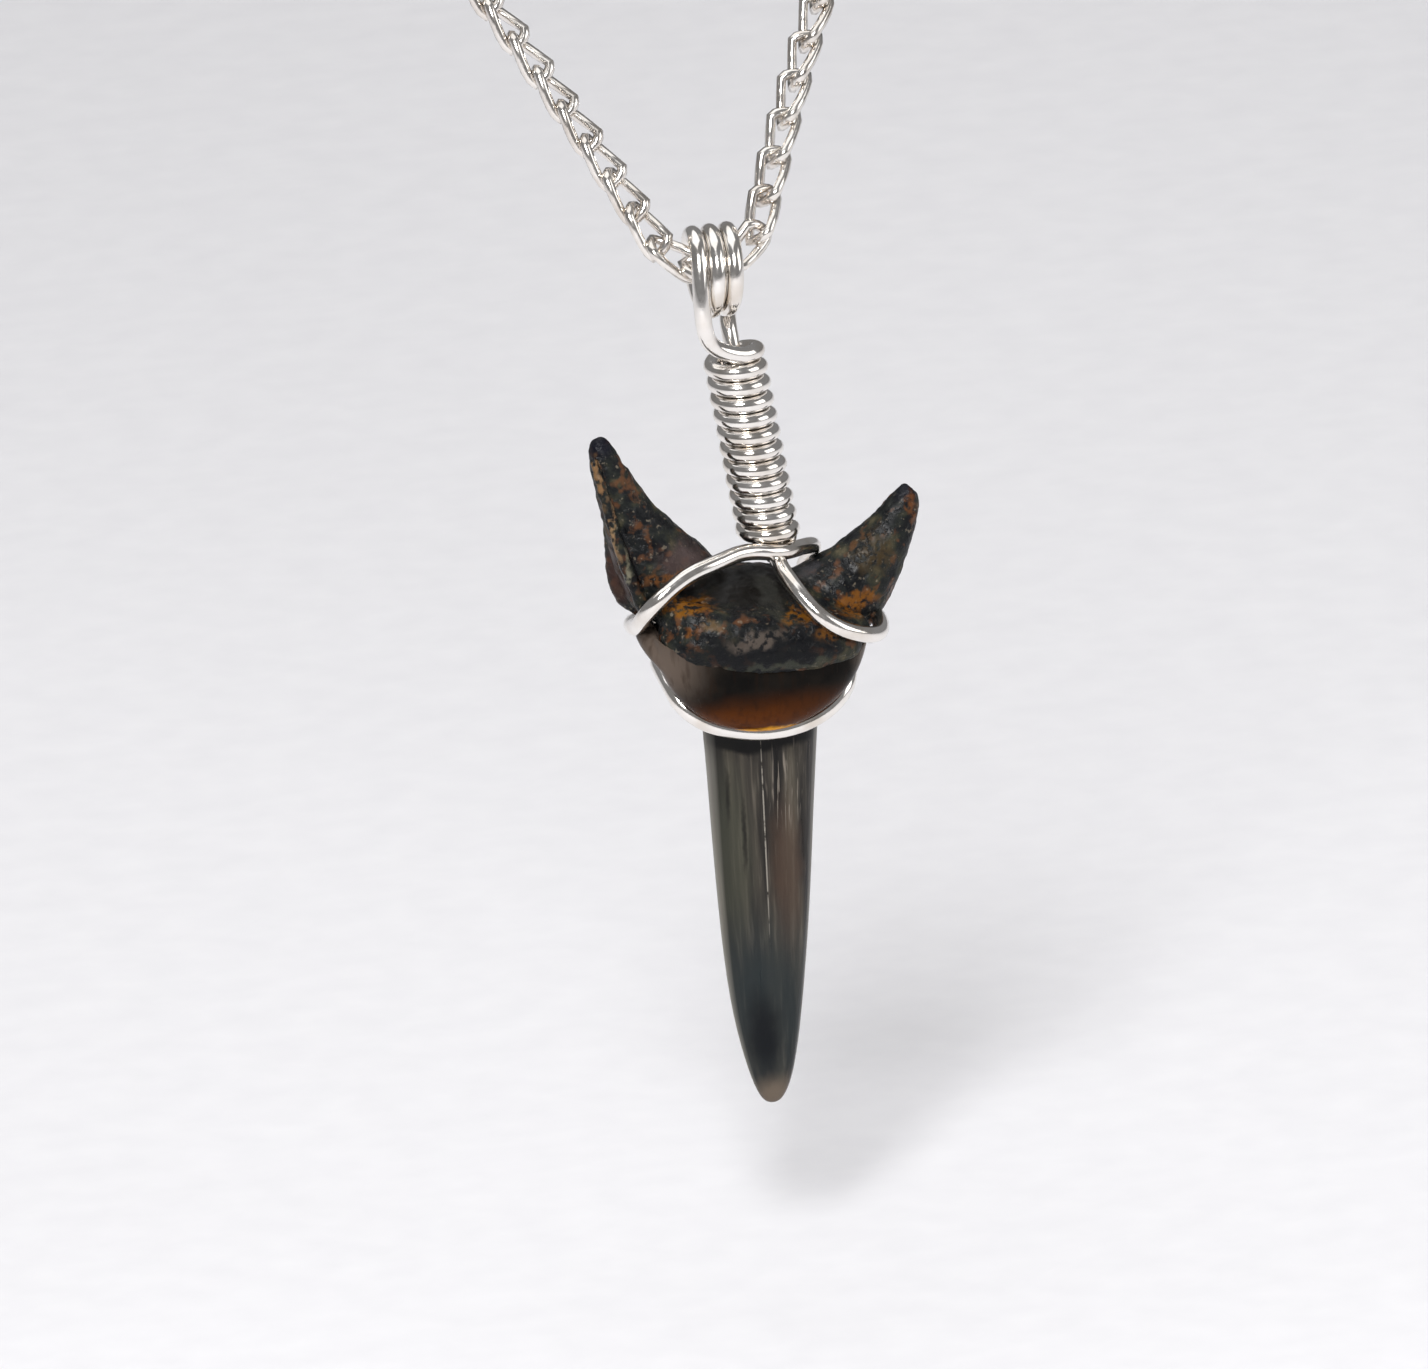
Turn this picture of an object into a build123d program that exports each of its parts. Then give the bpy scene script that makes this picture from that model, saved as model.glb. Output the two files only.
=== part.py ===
"""Shark tooth pendant in a silver wire cradle, hanging on a curb chain necklace."""
import math
import os

from build123d import *

os.makedirs("parts", exist_ok=True)

# All lengths are in millimetres and all angles in degrees.
# The origin is at the nape, +Z is up and the front of the neck faces -Y.

# Curb chain: one twisted link, repeated at a pitch that leaves a thin gap between the wires
LINK_WIRE = 0.4
LINK_LENGTH = 3.05
LINK_WIDTH = 1.56
LINK_TWIST = 46.0
LINK_BEND = 0.48
LINK_PITCH = 2.07
LINKS_PER_SIDE = 108

# Way of the chain: two straight arms on the chest, a round neck, and the slope of the body
ARM_ANGLE = 29.9
VERTEX_ANGLE = 36.0
CHEST_SLOPE = 59.0
CHEST_LENGTH = 90.0
NAPE_SLOPE = 17.0
ROLL_LENGTH = 12.0
RIGHT_ROLL = -50.0
LEFT_ROLL = 20.0
NAPE_ROLL = 47.0

# Ring clasp at the nape
CLASP_RADIUS = 2.65
CLASP_WIRE = 0.7
CLASP_GAP = 0.06
THUMB_LENGTH = 1.1

# Pendant wires
WIRE = 0.79
FULL_BEND = 0.499
COIL_RADIUS = 1.105
COIL_PITCH = 0.815
COIL_TURNS = 11
COIL_LEAN = 7.3
COIL_TAIL = 1.75
COIL_TOP = (0.70, 0.0, -3.95)
BAIL_RADIUS = 1.795
BAIL_DROP = 0.28
BAIL_STEP = 0.83

# Tooth crown: height, middle, half width, front rise and back rise of each section
CROWN_DEPTH = 0.9
CROWN = [
    (-20.0, 1.10, 2.95, 2.2, 1.4),
    (-26.0, 0.99, 2.58, 1.9, 1.1),
    (-31.5, 0.82, 2.30, 1.6, 0.9),
    (-36.3, 0.64, 1.76, 1.2, 0.7),
    (-39.4, 0.66, 1.22, 0.9, 0.5),
    (-41.5, 0.63, 0.40, 0.4, 0.3),
]
# Tooth bulge: depth, middle, half width, rise and drop of each section
BULGE_HEIGHT = -17.4
BULGE_TILT = 7.0
BULGE = [
    (2.3, 0.95, 3.9, 2.2, 3.4),
    (1.0, 0.95, 4.6, 2.7, 4.1),
    (-1.2, 0.90, 5.0, 2.3, 4.2),
    (-2.5, 0.60, 5.5, 1.3, 4.8),
    (-3.5, 0.70, 4.1, 0.8, 3.9),
    (-4.0, 0.80, 1.6, 0.4, 1.6),
]
# Tooth root lobes: place across and height, half width and half thickness of each section
LOBE_DEPTH = 0.5
LEFT_LOBE = [
    (-5.98, -7.85, 0.30, 0.30),
    (-5.90, -8.15, 0.58, 0.52),
    (-5.45, -9.50, 0.92, 0.85),
    (-4.50, -12.0, 1.40, 1.30),
    (-3.50, -14.1, 2.20, 1.80),
    (-1.60, -16.8, 2.60, 2.10),
]
RIGHT_LOBE = [
    (9.05, -12.15, 0.35, 0.35),
    (8.95, -12.45, 0.66, 0.60),
    (8.30, -13.60, 1.05, 1.00),
    (6.80, -15.50, 1.50, 1.50),
    (4.90, -16.90, 2.10, 1.90),
    (2.50, -18.20, 2.90, 2.10),
]

# Cradle wire: corners of its way round the tooth, each with its bend radius
CRADLE = [
    (1.10, 0.00, -7.00, 0.0),
    (1.80, 0.00, -12.9, 1.5),
    (2.10, -0.55, -14.2, 0.6),
    (3.10, -2.80, -15.2, 1.0),
    (4.50, -4.30, -17.0, 1.5),
    (6.50, -3.20, -18.7, 1.2),
    (7.10, -0.20, -18.6, 1.0),
    (6.60, 2.30, -18.3, 1.2),
    (3.50, 3.07, -18.6, 2.0),
    (-2.3, 3.00, -19.4, 1.5),
    (-3.9, 1.90, -19.6, 1.0),
    (-3.5, -0.80, -20.4, 1.0),
    (-2.3, -1.60, -21.8, 1.5),
    (1.20, -1.60, -22.8, 2.0),
    (4.70, -1.60, -21.6, 1.5),
    (5.80, -0.60, -19.6, 1.0),
    (5.70, 2.50, -19.6, 1.0),
    (3.00, 4.05, -19.2, 1.5),
    (-2.6, 3.50, -17.7, 1.5),
    (-5.0, 2.00, -17.2, 1.0),
    (-5.25, -1.40, -16.65, 0.8),
    (-3.3, -2.65, -15.1, 1.5),
    (-1.0, -2.00, -14.2, 1.5),
    (0.60, -1.50, -13.7, 1.0),
    (2.90, -1.45, -13.62, 0.6),
    (3.10, 1.00, -13.7, 0.6),
    (1.00, 1.00, -13.7, 0.8),
    (-0.4, 0.50, -13.7, 0.0),
]


def oval(plane, half_width, up, down):
    """Face on the plane, bounded by four arcs, with its half sizes."""
    diagonal = math.sqrt(0.5)
    with BuildSketch(plane) as outline:
        with BuildLine():
            for side in (-1, 1):
                for height in (up, -down):
                    ThreePointArc(
                        (side * half_width, 0),
                        (side * diagonal * half_width, diagonal * height),
                        (0, height),
                    )
        make_face()
    return outline.sketch


def blade(plane, half_width, front, back):
    """Face on the plane, bounded by two arcs that meet in the cutting edges."""
    with BuildSketch(plane) as outline:
        with BuildLine():
            ThreePointArc((-half_width, 0), (0, -front), (half_width, 0))
            ThreePointArc((half_width, 0), (0, back), (-half_width, 0))
        make_face()
    return outline.sketch


# The way of the chain on one side, first as drawn on the unrolled body surface
arm = math.radians(ARM_ANGLE)
first_turn = math.radians(VERTEX_ANGLE)
arm_start = (
    LINK_PITCH / 2 + LINK_PITCH * math.cos(first_turn),
    LINK_PITCH * math.sin(first_turn),
)
clasp_reach = CLASP_RADIUS - CLASP_WIRE / 2 - CLASP_GAP - LINK_WIRE / 2
last_joint = clasp_reach + (LINK_LENGTH - LINK_WIRE) / 2 - LINK_PITCH / 2
side_length = (LINKS_PER_SIDE - 1) * LINK_PITCH + last_joint
neck_radius = (side_length + arm_start[0] / math.sin(arm)) / (1 / math.tan(arm) + math.pi / 2 + arm)
arm_length = (neck_radius * math.cos(arm) - arm_start[0]) / math.sin(arm)
neck_middle = arm_start[1] + arm_length * math.cos(arm) + neck_radius * math.sin(arm)
slope_radius = (neck_middle + neck_radius - CHEST_LENGTH) / math.radians(CHEST_SLOPE - NAPE_SLOPE)


def unrolled(distance):
    """Place across and up the body surface, this far along from the end of the arm's first link."""
    if distance <= arm_length:
        return (
            arm_start[0] + distance * math.sin(arm),
            arm_start[1] + distance * math.cos(arm),
        )
    angle = (distance - arm_length) / neck_radius - arm
    return (neck_radius * math.cos(angle), neck_middle + neck_radius * math.sin(angle))


def profile(climb):
    """Depth, height and slope of the body surface at this climb from the pendant."""
    slope = math.radians(CHEST_SLOPE)
    straight = min(climb, CHEST_LENGTH)
    bend = max(climb - CHEST_LENGTH, 0) / slope_radius
    y = straight * math.cos(slope) + slope_radius * (math.sin(slope) - math.sin(slope - bend))
    z = straight * math.sin(slope) + slope_radius * (math.cos(slope - bend) - math.cos(slope))
    return y, z, slope - bend


nape_y, nape_z, nape_slope = profile(neck_middle + neck_radius)
HANG = Vector(0, -nape_y, -nape_z)


def on_body(across, climb):
    """Point of the body surface in the necklace's frame."""
    return HANG + Vector(across, *profile(climb)[:2])


def hung(x, y, z):
    """Point of the pendant, measured from the chain's lowest link."""
    return HANG + Vector(x, y, z)


def hung_plane(x, y, z, x_dir, z_dir):
    """Sketch plane of the pendant, measured from the chain's lowest link."""
    return Plane(origin=hung(x, y, z), x_dir=x_dir, z_dir=z_dir)


def lobe_sections(table):
    """Sections of a root lobe from its tip into the middle of the root."""
    faces = []
    for i, (x, z, half_width, half_depth) in enumerate(table):
        ahead = table[min(i + 1, len(table) - 1)]
        behind = table[max(i - 1, 0)]
        run = (ahead[0] - behind[0], 0, ahead[1] - behind[1])
        plane = hung_plane(x, LOBE_DEPTH, z, (run[2], 0, -run[0]), run)
        faces.append(oval(plane, half_width, half_depth, half_depth))
    return faces


# Tooth: crown, bulge and both root lobes, lofted and joined
tilt = math.radians(BULGE_TILT)
bulge_across = (math.cos(tilt), 0, -math.sin(tilt))
crown_sections = [
    blade(hung_plane(x, CROWN_DEPTH, z, (1, 0, 0), (0, 0, 1)), half_width, front, back)
    for z, x, half_width, front, back in CROWN
]
bulge_sections = [
    oval(hung_plane(x, y, BULGE_HEIGHT, bulge_across, (0, -1, 0)), half_width, up, down)
    for y, x, half_width, up, down in BULGE
]
with BuildPart() as tooth:
    loft(crown_sections)
    loft(bulge_sections)
    loft(lobe_sections(LEFT_LOBE))
    loft(lobe_sections(RIGHT_LOBE))
tooth.part.label = "tooth"
export_step(tooth.part, "parts/tooth.step")

# Cradle wire: up the inside of the coil, round the root and under the bulge
with BuildPart() as cradle_wire:
    with BuildLine() as cradle_way:
        FilletPolyline(
            *[hung(x, y, z) for x, y, z, bend in CRADLE],
            radius=[bend for x, y, z, bend in CRADLE[1:-1]],
        )
    with BuildSketch(Plane(origin=cradle_way.line @ 0, z_dir=cradle_way.line % 0)):
        Circle(WIRE / 2)
    sweep()
cradle_wire.part.label = "cradle_wire"
export_step(cradle_wire.part, "parts/cradle_wire.step")

# Bail wire: three loops over the chain, then the tight coil round the stem
lean = math.radians(COIL_LEAN)
coil_down = Vector(math.sin(lean), 0, -math.cos(lean))
coil_across = Vector(math.cos(lean), 0, math.sin(lean))
coil_back = Vector(0, 1, 0)
coil_top = hung(*COIL_TOP)
QUARTERS = [(-1, -1), (1, -1), (1, 1), (-1, 1)]
bail_way = [
    (coil_top + coil_down * 2.5, 0),
    (coil_top - coil_down * 0.95, 0.8),
    (hung(1.05, BAIL_RADIUS, -3.0), 0.7),
]
for quarter in range(10):
    depth, height = QUARTERS[(quarter + 2) % 4]
    corner = hung(
        BAIL_STEP * (1.125 - quarter / 4),
        depth * BAIL_RADIUS,
        height * BAIL_RADIUS - BAIL_DROP,
    )
    bail_way.append((corner, FULL_BEND * 2 * BAIL_RADIUS))
bail_way.append((hung(-1.10, -1.65, -2.2), 1.5))
for quarter in range(4 * COIL_TURNS + 1):
    side, depth = QUARTERS[quarter % 4]
    corner = coil_top + COIL_RADIUS * (coil_across * side + coil_back * depth)
    bail_way.append((corner + coil_down * (quarter * COIL_PITCH / 4), FULL_BEND * 2 * COIL_RADIUS))
turn_end = bail_way[-1][0]
bail_way.append((turn_end + coil_across * COIL_TAIL, 0))
with BuildPart() as bail_wire:
    with BuildLine() as bail_line:
        FilletPolyline(
            *[corner for corner, bend in bail_way],
            radius=[bend for corner, bend in bail_way[1:-1]],
        )
    with BuildSketch(Plane(origin=bail_line.line @ 0, z_dir=bail_line.line % 0)):
        Circle(WIRE / 2)
    sweep()
bail_wire.part.label = "bail_wire"
export_step(bail_wire.part, "parts/bail_wire.step")

# Curb link: a rounded rectangle of wire, its two ends twisted against each other
link_end = (LINK_LENGTH - LINK_WIRE) / 2
link_y = (LINK_WIDTH - LINK_WIRE) / 2
link_z = link_y * math.tan(math.radians(LINK_TWIST))
with BuildPart() as link:
    for side in (1, -1):
        with BuildLine() as half_way:
            FilletPolyline(
                (link_end, 0, 0),
                (link_end, side * link_y, side * link_z),
                (-link_end, side * link_y, -side * link_z),
                (-link_end, 0, 0),
                radius=LINK_BEND,
            )
        with BuildSketch(Plane(origin=half_way.line @ 0, z_dir=half_way.line % 0)):
            Circle(LINK_WIRE / 2)
        sweep()


def roll(distance, full):
    """Roll of the chain's face about its own way, this far along from the pendant."""
    share = distance / (side_length + LINK_PITCH)
    return min(distance / ROLL_LENGTH, 1) * (full * (1 - share) + NAPE_ROLL * share)


def link_place(start, end, climb, angle):
    """Place of a link between two joints, its face turned off the body surface by the angle."""
    slope = profile(climb)[2]
    along = (end - start).normalized()
    face = Vector(0, -math.sin(slope), math.cos(slope)).rotate(Axis((0, 0, 0), along), angle)
    return Plane(origin=(start + end) / 2, x_dir=along, z_dir=face).location


# Chain: the lowest link, then both sides up to the clasp
joints = [(LINK_PITCH / 2, 0.0)]
joints += [unrolled(i * LINK_PITCH) for i in range(LINKS_PER_SIDE)]
places = [link_place(on_body(-LINK_PITCH / 2, 0), on_body(LINK_PITCH / 2, 0), 0, 0)]
for side, full_roll in ((1, RIGHT_ROLL), (-1, LEFT_ROLL)):
    for i in range(LINKS_PER_SIDE):
        start, end = [on_body(side * across, climb) for across, climb in joints[i:i + 2]]
        middle_climb = (joints[i][1] + joints[i + 1][1]) / 2
        angle = roll((i + 1) * LINK_PITCH, full_roll)
        places.append(link_place(start, end, middle_climb, angle))
chain = Compound([link.part.solid().moved(place) for place in places])
chain.label = "chain"
export_step(chain, "parts/chain.step")

# Clasp: a plain ring with a thumb piece, through the last link of either side
clasp_plane = Plane(origin=(0, 0, 0), x_dir=(1, 0, 0), z_dir=(0, -math.sin(nape_slope), math.cos(nape_slope)))
with BuildPart(clasp_plane) as clasp:
    Torus(CLASP_RADIUS, CLASP_WIRE / 2)
    with Locations((0, CLASP_RADIUS + THUMB_LENGTH / 2, 0)):
        Cylinder(CLASP_WIRE / 2, THUMB_LENGTH, rotation=(90, 0, 0))
clasp.part.label = "clasp"
export_step(clasp.part, "parts/clasp.step")
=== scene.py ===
import math

import bpy
from mathutils import Matrix, Vector


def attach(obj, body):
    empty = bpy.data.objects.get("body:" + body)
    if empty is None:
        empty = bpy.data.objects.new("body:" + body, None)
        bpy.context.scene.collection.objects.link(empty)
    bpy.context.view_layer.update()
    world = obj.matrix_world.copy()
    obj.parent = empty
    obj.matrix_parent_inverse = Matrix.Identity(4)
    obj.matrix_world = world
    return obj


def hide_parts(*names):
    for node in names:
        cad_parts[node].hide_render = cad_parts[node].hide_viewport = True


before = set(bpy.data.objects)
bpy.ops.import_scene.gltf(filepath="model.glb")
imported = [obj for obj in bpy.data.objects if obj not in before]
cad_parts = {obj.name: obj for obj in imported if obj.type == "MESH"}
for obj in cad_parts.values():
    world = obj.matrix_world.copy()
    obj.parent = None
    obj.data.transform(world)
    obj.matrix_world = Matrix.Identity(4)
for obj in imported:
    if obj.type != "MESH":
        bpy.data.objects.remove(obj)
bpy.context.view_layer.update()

# Lengths are real millimetres, turned into the scene's metres by MM
MM = 0.001

# The chain's lowest link, measured from the nape; the pendant is measured from there
HANG = Vector((0, -112.894, -129.132))

# Picture: its size, how many of its pixels one millimetre takes, and where the lowest link shows
PICTURE_WIDTH = 1428
PICTURE_HEIGHT = 1369
PIXELS_PER_MM = 21.4
HANG_PIXEL = (712, 265)

# Camera: its angles and distance, the width of its film, and the metres between which it sees
CAMERA_AZIMUTH = -13.0
CAMERA_HEIGHT = 17.0
CAMERA_ROLL = 3.56
CAMERA_DISTANCE = 1500
FILM_WIDTH = 36
NEAR_END = 0.01
FAR_END = 20

# Floor: the tooth's tip below the lowest link, the floor below the tip, and its size in metres
TIP_DROP = 41.6
FLOOR_DROP = 8
FLOOR_SIZE = 6

# Lights: what each is aimed at and its metres from there, then its size, watts and spread in degrees
PENDANT_MIDDLE = (1, 0, -20)
LIGHTS = [
    ("key", "pendant", (-0.20, -0.50, 0.42), 0.22, 1.15, 90),
    ("overhead", "floor", (-0.2, 0.3, 1.6), 2.0, 13.0, 180),
    ("fill", "pendant", (0.5, -0.3, 0.25), 0.4, 0.4, 120),
]
ROOM_TONE = "A9A9AA"
ROOM_STRENGTH = 0.55

# Tooth, measured from the lowest link: cells of its melted skin, and corners of a ring
VOXEL = 0.11
RING_SIDES = 24
# How far back the crown's middle lies, and how far its two edges are drawn out
CROWN_DEPTH = 0.9
EDGE_REACH = 1.05
# Middle and tilt of the root, and how far back its lobes stand
ROOT_MIDDLE = (0.95, -17.4)
ROOT_TILT = 7.0
LOBE_DEPTH = 0.5
# Height, across, half width, front and back of each ring of the crown
CROWN = [
    (-19.5, 1.10, 2.95, 2.2, 1.4),
    (-23.0, 1.08, 2.70, 2.1, 1.3),
    (-26.0, 0.92, 2.50, 1.9, 1.1),
    (-31.5, 0.74, 2.20, 1.6, 0.9),
    (-36.3, 0.58, 1.76, 1.2, 0.7),
    (-39.4, 0.64, 1.20, 0.9, 0.5),
    (-40.9, 0.66, 0.75, 0.6, 0.4),
    (-41.5, 0.63, 0.30, 0.3, 0.2),
]
# Depth, across, half width, rise and drop of each ring of the root's core
CORE = [
    (2.5, 0.95, 2.2, 1.4, 1.6),
    (2.2, 0.95, 3.8, 2.1, 2.6),
    (1.0, 0.95, 4.5, 2.6, 2.8),
    (-1.2, 0.90, 4.9, 2.1, 2.6),
    (-2.6, 0.75, 5.1, 1.4, 2.2),
    (-3.6, 0.80, 4.5, 0.9, 1.9),
    (-4.1, 0.90, 3.3, 0.6, 1.4),
    (-4.3, 0.90, 1.8, 0.2, 0.7),
]
# Depth, across, half width, sink and drop of each ring of the neck, and its hollow from above
NECK = [
    (2.1, 0.95, 2.8, 0.0, 2.6),
    (1.6, 0.95, 3.9, 0.0, 3.6),
    (0.3, 0.95, 4.7, 0.0, 4.3),
    (-1.2, 0.90, 5.1, 0.0, 4.8),
    (-2.3, 0.75, 5.3, 0.0, 5.1),
    (-3.0, 0.75, 4.9, 0.3, 4.6),
    (-3.5, 0.75, 4.2, 0.5, 3.8),
    (-3.9, 0.80, 2.8, 1.0, 2.6),
]
NECK_HOLLOW = 0.25
# Across, height, half width and half thickness of each ring of a lobe, from its tip
LEFT_LOBE = [
    (-5.98, -7.85, 0.32, 0.32),
    (-5.90, -8.15, 0.58, 0.52),
    (-5.50, -9.50, 0.86, 0.80),
    (-4.60, -12.0, 1.26, 1.20),
    (-3.50, -14.1, 2.10, 1.80),
    (-1.60, -16.8, 2.60, 2.10),
]
RIGHT_LOBE = [
    (9.05, -12.15, 0.36, 0.35),
    (8.95, -12.45, 0.66, 0.60),
    (8.30, -13.60, 1.02, 0.95),
    (7.00, -15.55, 1.65, 1.45),
    (5.10, -17.00, 2.30, 1.90),
    (2.50, -18.20, 2.90, 2.10),
]
# Ridges and the groove are round strands, 2 mm thick where the share of a point is 1
RIDGE = {"thickness": 2, "order": 4, "sides": 12, "fineness": 6}
# Places and shares along the rim that widens the neck under the left shoulder wire
NECK_RIM = [
    (-4.3, 0.3, -17.2, 0.50),
    (-4.5, -1.3, -17.3, 0.60),
    (-3.9, -2.4, -18.1, 0.65),
    (-3.0, -2.9, -19.2, 0.55),
    (-2.0, -3.0, -20.2, 0.40),
]
# Places and shares along the root's crest, the flange and the keel of its left lobe, and its groove
CREST = [
    (-3.9, -1.2, -15.7, 0.6),
    (-3.1, -2.3, -16.4, 1.05),
    (-2.0, -2.9, -17.0, 1.3),
    (-0.5, -3.1, -17.3, 1.35),
    (0.5, -3.2, -17.4, 1.2),
    (1.3, -3.2, -17.7, 1.1),
    (2.2, -3.1, -17.5, 1.2),
    (3.2, -2.9, -17.8, 1.25),
    (4.4, -2.5, -18.0, 1.1),
    (5.6, -1.8, -17.9, 0.8),
]
FLANGE = [
    (-5.55, 0.9, -11.8, 0.25),
    (-5.30, 1.4, -13.4, 0.40),
    (-5.15, 1.6, -14.9, 0.50),
    (-5.10, 1.5, -16.0, 0.45),
    (-4.00, 1.2, -16.4, 0.70),
]
KEEL = [
    (-6.35, -0.30, -8.6, 0.22),
    (-6.10, -0.55, -9.8, 0.25),
    (-5.75, -0.80, -11.6, 0.28),
    (-5.35, -0.95, -13.4, 0.30),
    (-4.90, -1.00, -15.0, 0.32),
    (-4.40, -1.00, -16.2, 0.35),
]
GROOVE = [
    (2.0, 0.6, -13.2, 0.55),
    (1.8, -0.9, -14.3, 0.55),
    (1.6, -2.2, -15.5, 0.50),
    (1.4, -3.3, -16.2, 0.40),
]
# Size and height of the root's lumps and of its grit
ROOT_GRAINS = [(1.1, 0.18), (0.45, 0.09)]

# Pendant wire, and the corners that each of its turns is drawn with
WIRE = {"thickness": 0.79, "order": 3, "sides": 16}
TURN_CORNERS = 8
# Bail: its loops over the chain, and where the wire comes up to them behind
BAIL_RADIUS = 1.84
BAIL_DROP = 0.28
BAIL_STEP = 0.83
BAIL_START = 1.3
BAIL_TURNS = 2.5
BAIL_FOOT = (1.05, BAIL_RADIUS, -3.0)
# Coil, and how deep inside it the wire starts and how far above it the wire turns off
COIL_TOP = (0.70, 0.0, -3.95)
COIL_LEAN = 7.3
COIL_RADIUS = 1.105
COIL_PITCH = 0.815
COIL_TAIL = 2.5
COIL_RISE = 0.95
# Sweep from the bail's last loop, first and last corner of the coil's turns, and the hook at its end
COIL_SWEEP = [(-1.12, -2.1, -1.9), (-0.75, -1.55, -3.5)]
COIL_FIRST = 3
COIL_LAST = 93
COIL_HOOK = [(2.85, -0.35, -13.2), (2.75, -0.1, -14.0), (1.8, 0.3, -14.5)]
# Cradle: from inside the coil over the right shoulder, twice round the root, over the left shoulder
CRADLE = [
    (1.10, 0.00, -7.00),
    (1.80, 0.00, -12.9),
    (1.95, -0.45, -14.1),
    (2.10, -2.60, -14.95),
    (3.50, -4.30, -16.95),
    (6.10, -3.40, -18.1),
    (6.90, -1.00, -18.0),
    (6.80, 2.30, -18.1),
    (3.50, 3.07, -18.6),
    (-2.3, 3.00, -19.3),
    (-3.5, 1.90, -19.3),
    (-3.6, -0.80, -19.6),
    (-3.2, -2.00, -20.8),
    (-1.7, -2.20, -21.9),
    (1.10, -2.20, -22.5),
    (3.60, -2.20, -21.9),
    (5.10, -1.60, -20.6),
    (5.30, 0.50, -19.7),
    (5.40, 2.50, -19.5),
    (3.00, 4.05, -19.2),
    (-2.6, 3.50, -17.7),
    (-4.6, 2.00, -17.4),
    (-4.95, -1.00, -16.95),
    (-4.85, -3.2, -15.4),
    (-2.95, -2.8, -14.1),
    (-1.10, -2.3, -13.75),
    (0.40, -1.50, -13.60),
    (2.20, -1.35, -14.0),
    (3.60, 0.00, -14.2),
    (4.60, 1.60, -14.7),
    (4.20, 2.80, -16.0),
]

# Chain: curb links spaced for LINK_WIRE and drawn with LINK_LOOK, as polished links look fuller
LINK_WIRE = 0.40
LINK_LOOK = 0.50
LINK_LENGTH = 3.05
LINK_WIDTH = 1.56
LINK_NOSE = 0.55
LINK_FLANK = 0.62
LINK_TWIST = 46.0
LINK_PITCH = 2.07
LINKS_PER_SIDE = 108
# Way of the chain: angle of its arms, turn of the links beside the lowest one, and the body's slopes
ARM_ANGLE = 29.9
VERTEX_ANGLE = 36.0
CHEST_SLOPE = 59.0
CHEST_LENGTH = 90.0
NAPE_SLOPE = 17.0
# Roll of the links about the chain's own line, full after this length, and at the nape
ROLL_LENGTH = 12.0
RIGHT_ROLL = -50.0
LEFT_ROLL = 32.0
NAPE_ROLL = 47.0
# Bow of both arms towards the middle, the length it takes, and what brings its widest place to ARM_BOW
ARM_BOW = 2.2
ARM_BOW_LENGTH = 100.0
BOW_SCALE = 27 / 4
# Clasp ring, and the gap between it and the last links
CLASP_RADIUS = 2.65
CLASP_WIRE = 0.70
CLASP_GAP = 0.06

# Silver of the pendant's wire and of the chain: colour, tarnish and roughness
WIRE_SILVER = ("F2EEE9", "CFC3B4", 0.14)
CHAIN_SILVER = ("EDE8E2", "BFB3A6", 0.18)
# Darker and lighter tone of the white card
CARD_TONES = ("E4E3E6", "EDECEE")
# Colours of the tooth's three parts, from their darkest grain to their palest
ROOT_TONES = [(0.34, "050609"), (0.45, "0C0E10"), (0.53, "171A18"), (0.61, "29291F"), (0.72, "4A4433")]
NECK_TONES = [(0.35, "080706"), (0.70, "17130F")]
CROWN_TONES = [(0.34, "141312"), (0.45, "282522"), (0.53, "3A3630"), (0.61, "4A453C"), (0.70, "635D54")]
# Flecks: grain, detail and the noise at which they start and are full, then a colour and its strength
ROOT_FLECKS = [(0.6, 5.0, 0.56, 0.68, "5C3A22", 0.70), (0.23, 4.0, 0.62, 0.70, "7D7364", 0.50)]
NECK_FLECKS = [(0.3, 3.0, 0.5, 0.75, "1E1006", 0.50)]
CROWN_FLECKS = [(0.2, 2.0, 0.55, 0.75, "8E857A", 0.14)]
# Stains: centre, half sizes and softness, then a colour and its strength
ROOT_SADDLE = ((0.9, -1.6, -14.9), (3.2, 2.6, 1.5), 0.35, "110F0D", 1.00)
ROOT_STAINS = [
    ((-5.2, 0.8, -14.6), (0.5, 1.6, 1.9), 0.50, "33201A", 0.85),
    ((-2.4, -1.2, -13.9), (1.2, 1.5, 0.8), 0.50, "473A38", 0.80),
    ((3.5, -0.8, -14.8), (0.7, 1.5, 0.6), 0.50, "48474A", 0.70),
    ((0.4, -4.4, -17.75), (4.0, 1.6, 1.15), 0.50, "040508", 0.92),
    ((0.6, -4.3, -18.7), (3.6, 1.5, 0.18), 0.50, "3E4036", 0.50),
    ((9.0, 0.5, -12.1), (0.9, 1.2, 0.6), 0.50, "0A0B16", 0.90),
    ((-6.0, 0.5, -7.9), (0.9, 1.2, 1.0), 0.50, "0A0B16", 0.90),
    ((1.35, -1.8, -15.2), (0.45, 2.2, 1.3), 0.50, "3C3C38", 0.45),
]
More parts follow.
